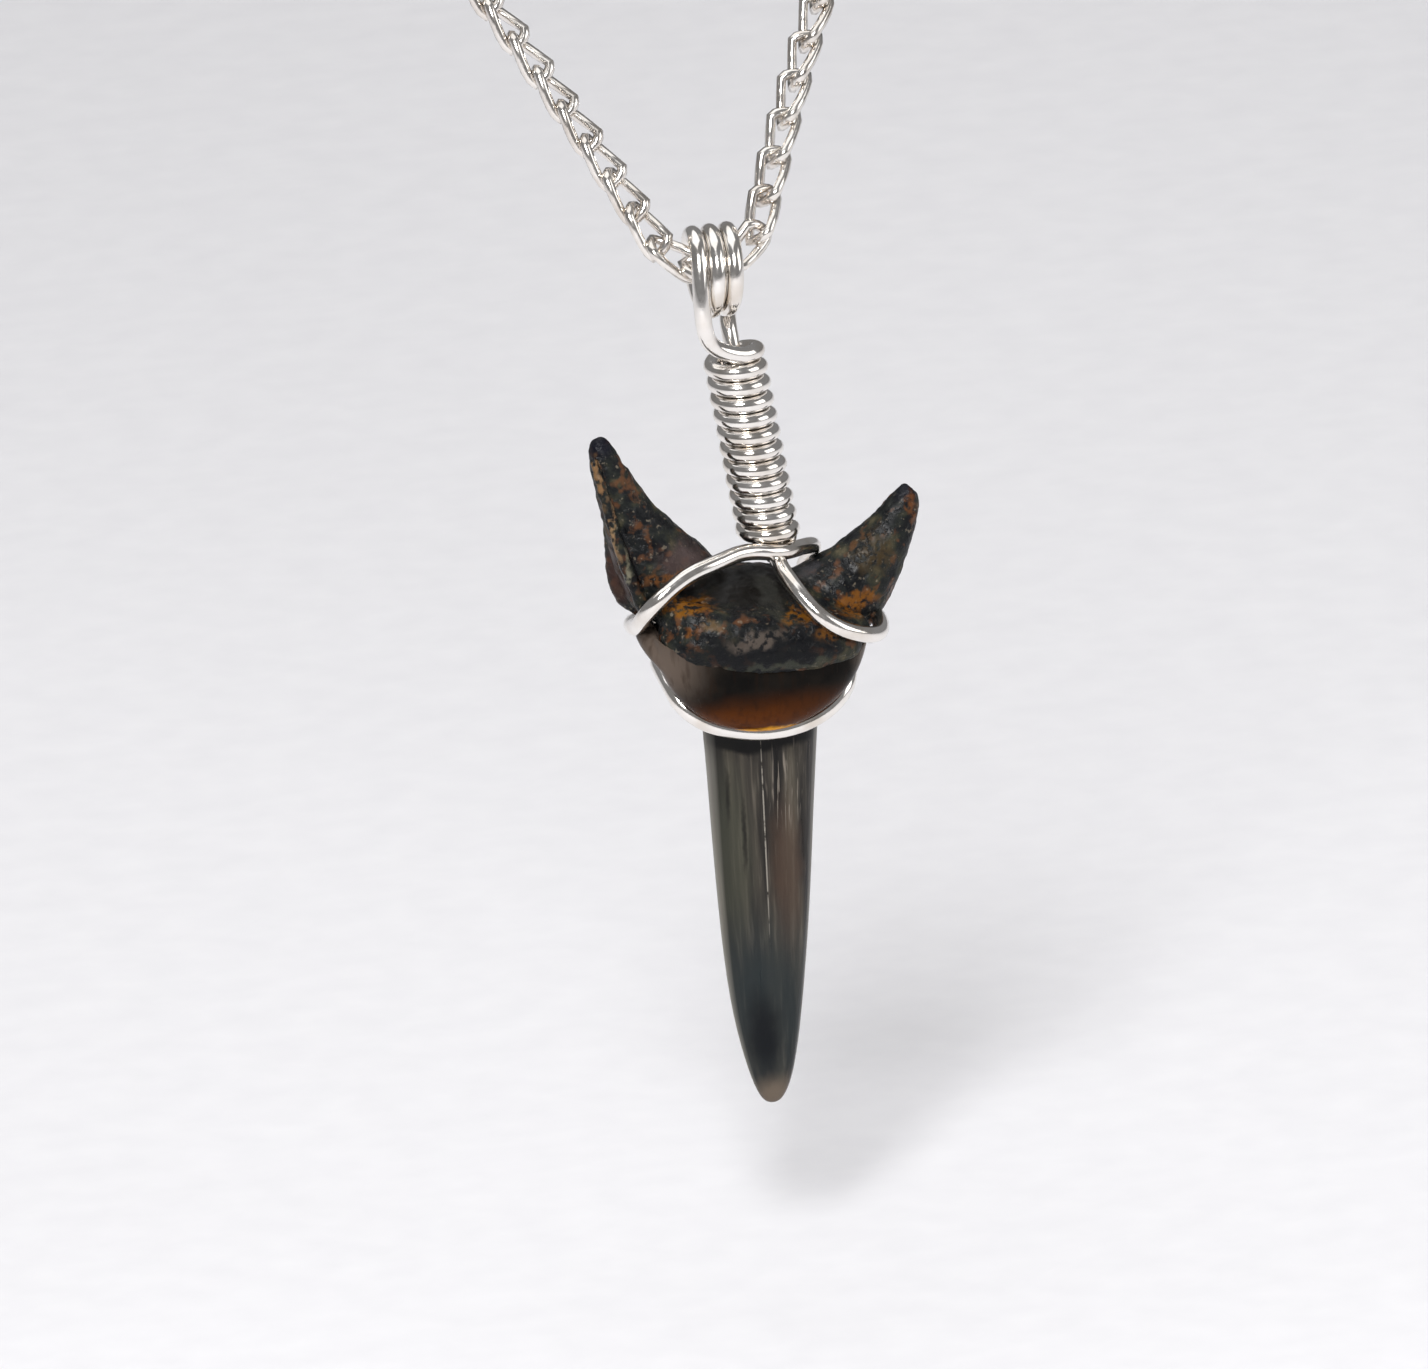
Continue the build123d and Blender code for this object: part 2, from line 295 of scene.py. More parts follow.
# Crusted stains of the root, broken up by its grit
ROOT_CRUSTS = [
    ((-2.9, -2.6, -15.6), (1.2, 1.5, 0.26), 0.50, "724604", 0.90),
    ((2.2, -2.6, -16.6), (0.9, 1.5, 0.30), 0.50, "724604", 0.85),
    ((3.4, -2.6, -17.5), (0.8, 1.5, 0.36), 0.50, "724604", 0.90),
    ((5.7, -1.5, -16.9), (1.2, 1.5, 0.32), 0.50, "6E420C", 0.85),
    ((-3.6, -1.7, -14.5), (1.0, 1.5, 0.26), 0.50, "66401E", 0.80),
    ((8.9, -0.5, -13.0), (0.26, 1.2, 0.9), 0.50, "5E3616", 0.75),
    ((6.6, -0.8, -14.8), (0.9, 1.2, 0.9), 0.50, "44361F", 0.60),
    ((0.1, -4.0, -17.2), (1.3, 1.4, 0.34), 0.50, "5C524A", 0.60),
    ((-2.0, -3.6, -16.3), (0.5, 1.4, 0.25), 0.50, "5A4426", 0.70),
    ((-2.97, -3.3, -16.6), (0.25, 1.4, 0.25), 0.50, "6A3E12", 0.70),
    ((-6.25, -0.9, -9.4), (0.18, 0.8, 1.5), 0.50, "7C5E3E", 0.75),
    ((-5.8, -1.0, -12.0), (0.18, 0.8, 1.6), 0.50, "8C7050", 0.75),
    ((-5.2, -1.1, -14.4), (0.20, 0.8, 1.2), 0.50, "74705E", 0.80),
]
NECK_STAINS_AND_SHEEN = [
    ((0.8, -2.6, -21.8), (5.2, 3.2, 1.7), 0.35, "3C1D05", 1.00),
    ((-0.6, -2.4, -21.5), (3.0, 2.4, 0.7), 0.60, "5A2D08", 0.60),
    # A thin band of painted golden glint along the neck's lower rim
    ((0.5, -2.3, -22.1), (2.2, 1.6, 0.20), 0.45, "D08E14", 0.95),
    # The grey patches on both sides of the neck are painted sheen
    ((-4.3, -2.3, -18.4), (1.6, 2.4, 1.8), 0.80, "62564D", 0.90),
    ((6.1, -2.3, -19.0), (1.0, 2.4, 1.9), 0.60, "6B6158", 0.90),
]
CROWN_STAINS_AND_SHADOW = [
    # The first stain is a painted shadow: a near-black band across the crown's top under the neck, also
    # standing for the crown's darker base
    ((0.8, 0.0, -21.8), (4.0, 4.0, 1.95), 0.08, "060505", 1.00),
    ((1.7, -0.8, -30.2), (0.75, 1.4, 3.6), 0.55, "4C3B30", 0.60),
    ((-1.0, -0.8, -29.0), (0.9, 1.4, 4.4), 0.55, "3A3B31", 0.65),
    ((-1.0, -1.2, -25.8), (0.10, 1.0, 1.4), 0.60, "0C0A09", 0.80),
    ((-0.35, -1.2, -27.8), (0.11, 1.0, 1.8), 0.60, "0C0A09", 0.80),
    ((0.4, 0.0, -36.4), (2.6, 2.5, 4.2), 0.60, "22292B", 0.80),
    ((0.15, -0.6, -38.0), (0.90, 1.2, 2.1), 0.55, "06090E", 0.92),
    ((0.65, 0.4, -41.4), (1.2, 1.2, 1.3), 0.55, "665A4E", 0.90),
]
# Scratches and the crack of the crown, kept to thin streaks and broken up
CROWN_SCRATCHES = [((1.8, -1.0, -25.3), (0.9, 1.4, 2.0), 0.40, "8C8378", 0.50)]
CROWN_CRACK = [((0.65, -1.2, -28.2), (0.036, 1.0, 5.0), 0.40, "9C968C", 0.70)]
# Pale edges of the crown, partly their own paler tone and partly painted sheen: how far sideways it
# faces where this starts and is full, colour and strength
CROWN_EDGE_AND_SHEEN = (0.76, 0.95, "8C8981", 0.75)
# Size of the root's painted pits, their weight beside the grit, and how much its saddle is worn down
PIT_SIZE = 0.38
PIT_WEIGHT = 0.7
SADDLE_WEAR = 0.85


def hung(x, y, z):
    """Place of the pendant, from millimetres at the lowest link to metres at the nape."""
    return (HANG + Vector((x, y, z))) * MM


def only(piece):
    """Leaves this piece alone selected and active."""
    bpy.ops.object.select_all(action="DESELECT")
    piece.select_set(True)
    bpy.context.view_layer.objects.active = piece


def apply_modifier(piece, kind, **settings):
    """Adds a modifier with its settings and applies it."""
    only(piece)
    bpy.ops.object.modifier_add(type=kind)
    modifier = piece.modifiers[-1]
    for name, value in settings.items():
        setattr(modifier, name, value)
    bpy.ops.object.modifier_apply(modifier=modifier.name)


def stretch(ring, growth, chosen):
    """Scales the chosen corners of a first ring about its middle."""
    bpy.ops.mesh.select_all(action="DESELECT")
    bpy.ops.object.mode_set(mode="OBJECT")
    for corner in ring.data.vertices:
        corner.select = chosen(corner.co)
    bpy.ops.object.mode_set(mode="EDIT")
    bpy.ops.transform.resize(value=growth, center_override=(0, 0, 0))


def ringed(rings, lean, turn, place, top=1.0, edges=1.0):
    """Closed body drawn ring by ring: along, across, depth, half width and half depth of each.

    The half of its rings that comes out on top is scaled by top, and hollowed where that is below
    nought. The two outermost corners of its rings are drawn out by edges.
    """
    bpy.ops.object.select_all(action="DESELECT")
    bpy.ops.mesh.primitive_circle_add(vertices=RING_SIDES, radius=MM, fill_type="NGON")
    body = bpy.context.active_object
    bpy.ops.object.mode_set(mode="EDIT")
    stretch(body, (1, top, 1), lambda corner: corner.y > 0)
    stretch(body, (edges, 1, 1), lambda corner: abs(corner.y) < MM / RING_SIDES)
    bpy.ops.mesh.select_all(action="SELECT")
    last_middle, last_width, last_depth = Vector((0, 0, 0)), 1, 1
    for number, (along, across, depth, half_width, half_depth) in enumerate(rings):
        middle = Vector((across, depth, along)) * MM
        if number:
            bpy.ops.mesh.extrude_region_move(TRANSFORM_OT_translate={"value": middle - last_middle})
        else:
            bpy.ops.transform.translate(value=middle)
        growth = (half_width / last_width, half_depth / last_depth, 1)
        bpy.ops.transform.resize(value=growth, center_override=middle)
        last_middle, last_width, last_depth = middle, half_width, half_depth
    bpy.ops.mesh.select_all(action="SELECT")
    bpy.ops.mesh.normals_make_consistent(inside=False)
    bpy.ops.object.mode_set(mode="OBJECT")
    body.data.transform(Matrix.Rotation(math.radians(lean), 4, "X"))
    body.data.transform(Matrix.Rotation(math.radians(turn), 4, "Y"))
    body.data.transform(Matrix.Translation(place))
    apply_modifier(body, "SUBSURF", levels=2, render_levels=2)
    return body


def fronted(rows, top=1.0):
    """Body drawn from the root's back to its front: depth, across, lift, half width and half height."""
    middle, height = ROOT_MIDDLE
    rings = [
        (-depth, across - middle, lift, half_width, half_height)
        for depth, across, lift, half_width, half_height in rows
    ]
    return ringed(rings, lean=90, turn=ROOT_TILT, place=hung(middle, 0, height), top=top)


def lobe(table):
    """Lobe of the root, drawn upright from its foot to its tip and then leaned outwards."""
    foot = Vector(table[-1][:2])
    run = Vector(table[0][:2]) - foot
    along = run.normalized()
    rings = []
    for x, z, half_width, half_thickness in reversed(table):
        offset = Vector((x, z)) - foot
        across = offset.x * along.y - offset.y * along.x
        rings.append((offset.dot(along), across, 0, half_width, half_thickness))
    turn = math.degrees(math.atan2(along.x, along.y))
    return ringed(rings, lean=0, turn=turn, place=hung(foot.x, LOBE_DEPTH, foot.y))


def strand(points, thickness, order, sides, fineness):
    """Closed round body along a smooth way; each point's last number is its share of the thickness."""
    bpy.ops.object.select_all(action="DESELECT")
    bpy.ops.curve.primitive_nurbs_path_add()
    curve = bpy.context.active_object.data
    curve.bevel_depth = thickness * MM / 2
    # A round bevel has four sides, and two more for each step of its resolution
    curve.bevel_resolution = (sides - 4) // 2
    curve.resolution_u = fineness
    curve.use_fill_caps = True
    spline = curve.splines[0]
    spline.points.add(len(points) - len(spline.points))
    for point, (x, y, z, share) in zip(spline.points, points):
        point.co = (*hung(x, y, z), 1)
        point.radius = share
    spline.order_u = order
    spline.use_endpoint_u = True
    bpy.ops.object.convert(target="MESH")
    return bpy.context.active_object


def melt(bodies, passes):
    """Joins bodies into one skin and softens its creases in so many passes."""
    only(bodies[0])
    if len(bodies) > 1:
        for body in bodies:
            body.select_set(True)
        bpy.ops.object.join()
    piece = bpy.context.active_object
    piece.data.remesh_voxel_size = VOXEL * MM
    bpy.ops.object.voxel_remesh()
    apply_modifier(piece, "SMOOTH", factor=0.5, iterations=passes)
    return piece


def finish_piece(piece, name, body, material, nodes):
    """Names a finished piece, smooths its shading, and gives it its material and what it stands for."""
    piece.name = name
    piece.data.name = name
    only(piece)
    bpy.ops.object.shade_smooth()
    piece.data.materials.clear()
    piece.data.materials.append(material)
    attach(piece, body)
    if nodes:
        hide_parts(*nodes)


# Materials


def shade(hex_colour):
    """Linear colour of an sRGB hex value."""
    channels = [int(hex_colour[i:i + 2], 16) / 255 for i in (0, 2, 4)]
    return (*[c / 12.92 if c <= 0.04045 else ((c + 0.055) / 1.055) ** 2.4 for c in channels], 1)


def node(material, kind, settings=None, inputs=None, links=None, stops=()):
    """Adds a node with its settings, input values, links and colour stops, and returns it."""
    added = material.node_tree.nodes.new(kind)
    for name, value in (settings or {}).items():
        setattr(added, name, value)
    for name, value in (inputs or {}).items():
        added.inputs[name].default_value = value
    for name, socket in (links or {}).items():
        material.node_tree.links.new(socket, added.inputs[name])
    for number, (position, colour) in enumerate(stops):
        elements = added.color_ramp.elements
        stop = elements[number] if number < 2 else elements.new(position)
        stop.position = position
        stop.color = shade(colour)
    return added


def new_material(name, **constants):
    """Material with its shader's constants set on the shader's own sockets."""
    material = bpy.data.materials.new(name)
    material.use_nodes = True
    shader = material.node_tree.nodes["Principled BSDF"]
    for key, value in constants.items():
        shader.inputs[key.replace("_", " ")].default_value = value
    return material, shader


def flecks(material, place, grain, detail, low=0.0, high=1.0, least=0.0, most=1.0):
    """Share that grows from least to most where noise of this grain goes from low to high."""
    cloud = node(
        material, "ShaderNodeTexNoise",
        inputs={"Scale": 1 / (grain * MM), "Detail": detail},
        links={"Vector": place},
    )
    share = node(
        material, "ShaderNodeMapRange",
        inputs={"From Min": low, "From Max": high, "To Min": least, "To Max": most},
        links={"Value": cloud.outputs["Fac"]},
    )
    return share.outputs[0]


def uneven(material, place, grain, reach):
    """Place pushed to and fro by noise, so that the edges of zones are uneven."""
    push = node(
        material, "ShaderNodeTexNoise",
        inputs={"Scale": 1 / (grain * MM), "Detail": 3.0},
        links={"Vector": place},
    )
    centred = node(
        material, "ShaderNodeVectorMath", {"operation": "SUBTRACT"},
        inputs={1: (0.5,) * 3},
        links={0: push.outputs["Color"]},
    )
    pushed = node(
        material, "ShaderNodeVectorMath", {"operation": "MULTIPLY_ADD"},
        inputs={1: (reach * MM,) * 3},
        links={0: centred.outputs[0], 2: place},
    )
    return pushed.outputs[0]


def zone(material, place, centre, size, edge, strength, within=None):
    """Share inside an oval about a place of the pendant, with a soft edge, within another share."""
    away = node(
        material, "ShaderNodeVectorMath", {"operation": "SUBTRACT"},
        inputs={1: hung(*centre)},
        links={0: place},
    )
    scaled = node(
        material, "ShaderNodeVectorMath", {"operation": "DIVIDE"},
        inputs={1: Vector(size) * MM},
        links={0: away.outputs[0]},
    )
    reach = node(
        material, "ShaderNodeVectorMath", {"operation": "LENGTH"},
        links={0: scaled.outputs[0]},
    )
    share = node(
        material, "ShaderNodeMapRange", {"interpolation_type": "SMOOTHSTEP"},
        inputs={"From Min": 1 + edge, "From Max": 1 - edge, "To Min": 0.0, "To Max": strength},
        links={"Value": reach.outputs["Value"]},
    )
    if within:
        share = node(
            material, "ShaderNodeMath", {"operation": "MULTIPLY"},
            links={0: share.outputs[0], 1: within},
        )
    return share.outputs[0]


def flecked(material, place, table):
    """Layers of flecks, one for each row of the table."""
    return [
        (flecks(material, place, grain, detail, low, high, most=strength), colour)
        for grain, detail, low, high, colour, strength in table
    ]


def stained(material, place, table, within=None):
    """Layers of stains, one for each row of the table."""
    return [
        (zone(material, place, centre, size, edge, strength, within), colour)
        for centre, size, edge, colour, strength in table
    ]


def dress(material, shader, colour, layers, roughness, height, strength, depth):
    """Lays stains over the colour and gives the shader that, its roughness and its relief."""
    for share, stain in layers:
        mixed = node(
            material, "ShaderNodeMix", {"data_type": "RGBA"},
            inputs={7: shade(stain)},
            links={0: share, 6: colour},
        )
        colour = mixed.outputs[2]
    relief = node(
        material, "ShaderNodeBump",
        inputs={"Strength": strength, "Distance": depth * MM},
        links={"Height": height},
    )
    link = material.node_tree.links.new
    link(colour, shader.inputs["Base Color"])
    link(roughness, shader.inputs["Roughness"])
    link(relief.outputs["Normal"], shader.inputs["Normal"])
    return material


def polished_silver(name, colour, tarnish, roughness):
    """Polished sterling wire: bright and white, with a faint warm tarnish and fine rubbing marks.

    The marks are drawn coarser than real ones, so that they show.
    """
    material, shader = new_material(name, Metallic=1.0)
    place = node(material, "ShaderNodeTexCoord").outputs["Object"]
    film = flecks(material, place, grain=1.6, detail=3.0, low=0.45, high=0.75, most=0.7)
    bright = node(
        material, "ShaderNodeMix", {"data_type": "RGBA"},
        inputs={6: shade(colour), 7: shade(tarnish)},
        links={0: film},
    )
    marks = flecks(material, place, grain=0.25, detail=4.0)
    rough = flecks(
        material, place, grain=0.25, detail=4.0, low=0.3, high=0.7,
        least=roughness * 0.6, most=roughness * 1.4,
    )
    return dress(material, shader, bright.outputs[2], [], rough, marks, strength=0.12, depth=0.03)


def fossil_root():
    """Fossil root dentine: charcoal and grey green, flecked rust, stained amber, pitted all over.

    The saddle between its lobes is worn smoother.
    """
    material, shader = new_material("fossil_root_dentine", IOR=1.54, Specular_IOR_Level=0.15)
    place = node(material, "ShaderNodeTexCoord").outputs["Object"]
    pushed = uneven(material, place, grain=0.8, reach=1.4)
    patches = flecks(material, place, grain=0.9, detail=8.0)
    tones = node(material, "ShaderNodeValToRGB", links={"Fac": patches}, stops=ROOT_TONES)
    grit = flecks(material, place, grain=0.3, detail=4.0, low=0.38, high=0.52)
    centre, size, edge, saddle_tone, strength = ROOT_SADDLE
    saddle = zone(material, pushed, centre, size, edge, strength)
    layers = flecked(material, place, ROOT_FLECKS)
    layers.append((saddle, saddle_tone))
    layers += stained(material, pushed, ROOT_STAINS)
    layers += stained(material, pushed, ROOT_CRUSTS, grit)
    pits = node(
        material, "ShaderNodeTexVoronoi", {"feature": "SMOOTH_F1"},
        inputs={"Scale": 1 / (PIT_SIZE * MM), "Smoothness": 0.4},
        links={"Vector": place},
    )
    pitted = node(
        material, "ShaderNodeMath", {"operation": "MULTIPLY_ADD"},
        inputs={1: PIT_WEIGHT},
        links={0: pits.outputs["Distance"], 2: grit},
    )
    worn = node(
        material, "ShaderNodeMath", {"operation": "MULTIPLY_ADD"},
        inputs={1: -SADDLE_WEAR, 2: 1.0},
        links={0: saddle},
    )
    height = node(
        material, "ShaderNodeMath", {"operation": "MULTIPLY"},
        links={0: pitted.outputs[0], 1: worn.outputs[0]},
    )
    rough = flecks(material, place, grain=0.9, detail=4.0, low=0.35, high=0.7, least=0.32, most=0.6)
    return dress(
        material, shader, tones.outputs["Color"], layers, rough, height.outputs[0],
        strength=0.28, depth=0.11,
    )


def fossil_neck():
    """Fossil enamel of the neck: smooth, black above and amber brown at its lower rim, with a painted
    golden glint along that rim and painted grey sheen on its sides.
    """
    material, shader = new_material("fossil_neck_enamel", IOR=1.55, Specular_IOR_Level=0.05)
    place = node(material, "ShaderNodeTexCoord").outputs["Object"]
    pushed = uneven(material, place, grain=1.4, reach=0.6)
    lengthwise = node(
        material, "ShaderNodeMapping", inputs={"Scale": (1, 1, 0.1)}, links={"Vector": place}
    ).outputs[0]
    clouds = flecks(material, place, grain=1.2, detail=4.0)
    tones = node(material, "ShaderNodeValToRGB", links={"Fac": clouds}, stops=NECK_TONES)
    layers = stained(material, pushed, NECK_STAINS_AND_SHEEN)
    layers += flecked(material, lengthwise, NECK_FLECKS)
    streaks = flecks(material, lengthwise, grain=0.35, detail=3.0, low=0.3, high=0.7)
    rough = flecks(
        material, lengthwise, grain=0.35, detail=3.0, low=0.3, high=0.7,
        least=0.14, most=0.28,
    )
    return dress(
        material, shader, tones.outputs["Color"], layers, rough, streaks,
        strength=0.1, depth=0.03,
    )


def fossil_crown():
    """Fossil enamel of the crown: dark satin, streaked lengthwise, cracked, bluer towards the tip, with
    a painted shadow across its top and pale edges that are partly painted sheen.
    """
    material, shader = new_material("fossil_crown_enamel", IOR=1.55, Specular_IOR_Level=0.14)
    where = node(material, "ShaderNodeTexCoord")
    place = where.outputs["Object"]
    pushed = uneven(material, place, grain=1.6, reach=0.8)
    lengthwise = node(
        material, "ShaderNodeMapping", inputs={"Scale": (1, 1, 0.03)}, links={"Vector": place}
    ).outputs[0]
    streaks = flecks(material, lengthwise, grain=0.8, detail=5.0)
    tones = node(material, "ShaderNodeValToRGB", links={"Fac": streaks}, stops=CROWN_TONES)
    scratches = flecks(material, lengthwise, grain=0.14, detail=2.0, low=0.57, high=0.64)
    broken = flecks(material, place, grain=0.5, detail=3.0, low=0.38, high=0.5)
    layers = flecked(material, lengthwise, CROWN_FLECKS)
    layers += stained(material, pushed, CROWN_STAINS_AND_SHADOW)
    layers += stained(material, place, CROWN_SCRATCHES, scratches)
    layers += stained(material, place, CROWN_CRACK, broken)
    # Pale edges where the crown faces sideways: partly the edges' own paler tone, partly painted sheen
    normal = node(material, "ShaderNodeSeparateXYZ", links={"Vector": where.outputs["Normal"]})
    aside = node(
        material, "ShaderNodeMath", {"operation": "ABSOLUTE"},
        links={0: normal.outputs["X"]},
    )
    low, high, colour, strength = CROWN_EDGE_AND_SHEEN
    edge_and_sheen = node(
        material, "ShaderNodeMapRange",
        inputs={"From Min": low, "From Max": high, "To Max": strength},
        links={"Value": aside.outputs[0]},
    )
    layers.append((edge_and_sheen.outputs[0], colour))
    rough = flecks(
        material, lengthwise, grain=0.8, detail=5.0, low=0.3, high=0.7,
        least=0.24, most=0.42,
    )
    fine = flecks(material, lengthwise, grain=0.2, detail=2.0)
    return dress(
        material, shader, tones.outputs["Color"], layers, rough, fine,
        strength=0.3, depth=0.05,
    )


def white_card():
    """White card: matt, very slightly uneven."""
    material, shader = new_material("white_card")
    place = node(material, "ShaderNodeTexCoord").outputs["Object"]
    patches = flecks(material, place, grain=2.5, detail=3.0)
    greyer, whiter = CARD_TONES
    tone = node(
        material, "ShaderNodeMix", {"data_type": "RGBA"},
        inputs={6: shade(greyer), 7: shade(whiter)},
        links={0: patches},
    )
    rough = flecks(material, place, grain=2.5, detail=3.0, low=0.3, high=0.7, least=0.75, most=0.85)
    return dress(material, shader, tone.outputs[2], [], rough, patches, strength=0.05, depth=0.05)


# Tooth


def make_root(material):
    """Root: core, lobes and ridges melted into one skin, grooved, then lumped and pitted."""
    core = [
        (depth, across, (rise - drop) / 2, half_width, (rise + drop) / 2)
        for depth, across, half_width, rise, drop in CORE
    ]
    bodies = [fronted(core), lobe(LEFT_LOBE), lobe(RIGHT_LOBE)]
    for ridge in (CREST, FLANGE, KEEL):
        bodies.append(strand(ridge, **RIDGE))
    root = melt(bodies, passes=5)
    groove = strand(GROOVE, **RIDGE)
    apply_modifier(root, "BOOLEAN", object=groove, operation="DIFFERENCE", solver="EXACT")
    bpy.data.objects.remove(groove)
    root = melt([root], passes=6)
    for grain, height in ROOT_GRAINS:
        clouds = bpy.data.textures.new("pitting", "CLOUDS")
        clouds.noise_scale = grain * MM
        clouds.noise_depth = 2
        apply_modifier(root, "DISPLACE", texture=clouds, strength=height * MM, mid_level=0.5)
    finish_piece(root, "tooth_root", "pendant", material, ["tooth"])


def make_neck(material):
    """Neck: a collar under the root, hollowed from above and widened by its rim."""
    collar = [
        (depth, across, -sink, half_width, drop - sink)
        for depth, across, half_width, sink, drop in NECK
    ]
    neck = melt([fronted(collar, top=-NECK_HOLLOW), strand(NECK_RIM, **RIDGE)], passes=12)
    finish_piece(neck, "tooth_neck", "pendant", material, [])


def make_crown(material):
    """Crown: a narrow blade with two edges."""
    rings = [
        (z, x, CROWN_DEPTH + (back - front) / 2, half_width, (front + back) / 2)
        for z, x, half_width, front, back in CROWN
    ]
    crown = ringed(rings, lean=0, turn=0, place=hung(0, 0, 0), edges=EDGE_REACH)
    finish_piece(crown, "tooth_crown", "pendant", material, [])


# Wires


def make_cradle(material):
    """Cradle: one wire that goes round the root twice."""
    cradle = strand([(*corner, 1) for corner in CRADLE], **WIRE, fineness=10)
    finish_piece(cradle, "cradle", "pendant", material, ["cradle_wire"])


def bail_way():
    """Way of the bail's wire: up out of the coil, three loops over the chain, then the tight coil."""
    lean = math.radians(COIL_LEAN)
    down = Vector((math.sin(lean), 0, -math.cos(lean)))
    across = Vector((math.cos(lean), 0, math.sin(lean)))
    back = Vector((0, 1, 0))
    top = Vector(COIL_TOP)
    # A smooth curve cuts inside its corners, so they lie outside the round that it follows
    outside = 1 / math.cos(math.pi / TURN_CORNERS)
    way = [top + down * COIL_TAIL, top - down * COIL_RISE, Vector(BAIL_FOOT)]
    for step in range(int(BAIL_TURNS * TURN_CORNERS)):
        angle = 2 * math.pi * step / TURN_CORNERS
        reach = BAIL_RADIUS * outside
        way.append(Vector((
            BAIL_STEP * (BAIL_START - step / TURN_CORNERS),
            reach * math.cos(angle),
            reach * math.sin(angle) - BAIL_DROP,
        )))
    way += [Vector(corner) for corner in COIL_SWEEP]
    for step in range(COIL_FIRST, COIL_LAST + 1):
        angle = 2 * math.pi * (step - COIL_FIRST) / TURN_CORNERS
        reach = COIL_RADIUS * outside
        way.append(
            top
            + across * reach * math.sin(angle)
            - back * reach * math.cos(angle)
            + down * COIL_PITCH * step / TURN_CORNERS
        )
    return way + [Vector(corner) for corner in COIL_HOOK]


def make_bail(material):
    """Bail and coil: one wire."""
    bail = strand([(*corner, 1) for corner in bail_way()], **WIRE, fineness=6)
    finish_piece(bail, "bail", "pendant", material, ["bail_wire"])


# Chain: both arms leave the lowest link straight, go round the neck and meet at the clasp
arm = math.radians(ARM_ANGLE)
first_turn = math.radians(VERTEX_ANGLE)
arm_start = (LINK_PITCH / 2 + LINK_PITCH * math.cos(first_turn), LINK_PITCH * math.sin(first_turn))
clasp_reach = CLASP_RADIUS - CLASP_WIRE / 2 - CLASP_GAP - LINK_WIRE / 2
last_joint = clasp_reach + (LINK_LENGTH - LINK_WIRE) / 2 - LINK_PITCH / 2
side_length = (LINKS_PER_SIDE - 1) * LINK_PITCH + last_joint
neck_radius = (side_length + arm_start[0] / math.sin(arm)) / (1 / math.tan(arm) + math.pi / 2 + arm)
arm_length = (neck_radius * math.cos(arm) - arm_start[0]) / math.sin(arm)
neck_middle = arm_start[1] + arm_length * math.cos(arm) + neck_radius * math.sin(arm)
slope_radius = (neck_middle + neck_radius - CHEST_LENGTH) / math.radians(CHEST_SLOPE - NAPE_SLOPE)


def flat_place(distance):
    """Across and climb of a point of the right arm, this far from the lowest links, laid flat."""
    if distance <= arm_length:
        return arm_start[0] + distance * math.sin(arm), arm_start[1] + distance * math.cos(arm)
    angle = (distance - arm_length) / neck_radius - arm
    return neck_radius * math.cos(angle), neck_middle + neck_radius * math.sin(angle)


def on_body(across, climb):
    """The same point on the body, up the chest and over the shoulders, and the slope there."""
    slope = math.radians(CHEST_SLOPE)
    straight = min(climb, CHEST_LENGTH)
    bend = max(climb - CHEST_LENGTH, 0) / slope_radius
    back = straight * math.cos(slope) + slope_radius * (math.sin(slope) - math.sin(slope - bend))
    height = straight * math.sin(slope) + slope_radius * (math.cos(slope - bend) - math.cos(slope))
    return HANG + Vector((across, back, height)), slope - bend


def arm_joints():
    """Joints of the right arm laid flat, from the lowest link to the clasp, with the arm's bow."""
    joints = [(LINK_PITCH / 2, 0)]
    joints += [flat_place(number * LINK_PITCH) for number in range(LINKS_PER_SIDE)]
    for number, (across, climb) in enumerate(joints):
        share = min(number * LINK_PITCH / ARM_BOW_LENGTH, 1)
        joints[number] = (across - ARM_BOW * BOW_SCALE * share * (1 - share) ** 2, climb)
    return joints


def link_wire():
    """One curb link about its own middle: an oval of wire whose two ends are twisted apart."""
    end = (LINK_LENGTH - LINK_WIRE) / 2
    half_width = (LINK_WIDTH - LINK_WIRE) / 2
    twist = math.tan(math.radians(LINK_TWIST))
    corners = [(1, -LINK_NOSE), (1, LINK_NOSE), (LINK_FLANK, 1), (-LINK_FLANK, 1)]
    corners += [(-along, -across) for along, across in corners]
    bpy.ops.object.select_all(action="DESELECT")
    bpy.ops.curve.primitive_nurbs_circle_add(radius=MM)
    wire = bpy.context.active_object
    wire.data.bevel_depth = LINK_LOOK * MM / 2
    wire.data.bevel_resolution = 1
    wire.data.resolution_u = 2
    spline = wire.data.splines[0]
    spline.order_u = 3
    for point, (along, across) in zip(spline.points, corners):
        place = Vector((along * end, across * half_width, along * across * half_width * twist))
        point.co = (*(place * MM), 1)
    bpy.ops.object.convert(target="MESH")
    return bpy.context.active_object


def set_link(link, start, end, roll):
    """Copy of the link between two joints of the chain, rolled about the chain's own line."""
    first = on_body(*start)[0]
    second = on_body(*end)[0]
    slope = on_body(0, (start[1] + end[1]) / 2)[1]
    along = (second - first).normalized()
    outwards = Vector((0, -math.sin(slope), math.cos(slope)))
    face = Matrix.Rotation(math.radians(roll), 3, along) @ outwards
    side = face.cross(along).normalized()
    face = along.cross(side)
    turned = Matrix((along, side, face)).transposed().to_4x4()
    copy = link.copy()
    copy.data = link.data.copy()
    copy.data.transform(Matrix.Translation((first + second) * MM / 2) @ turned)
    bpy.context.collection.objects.link(copy)
    return copy


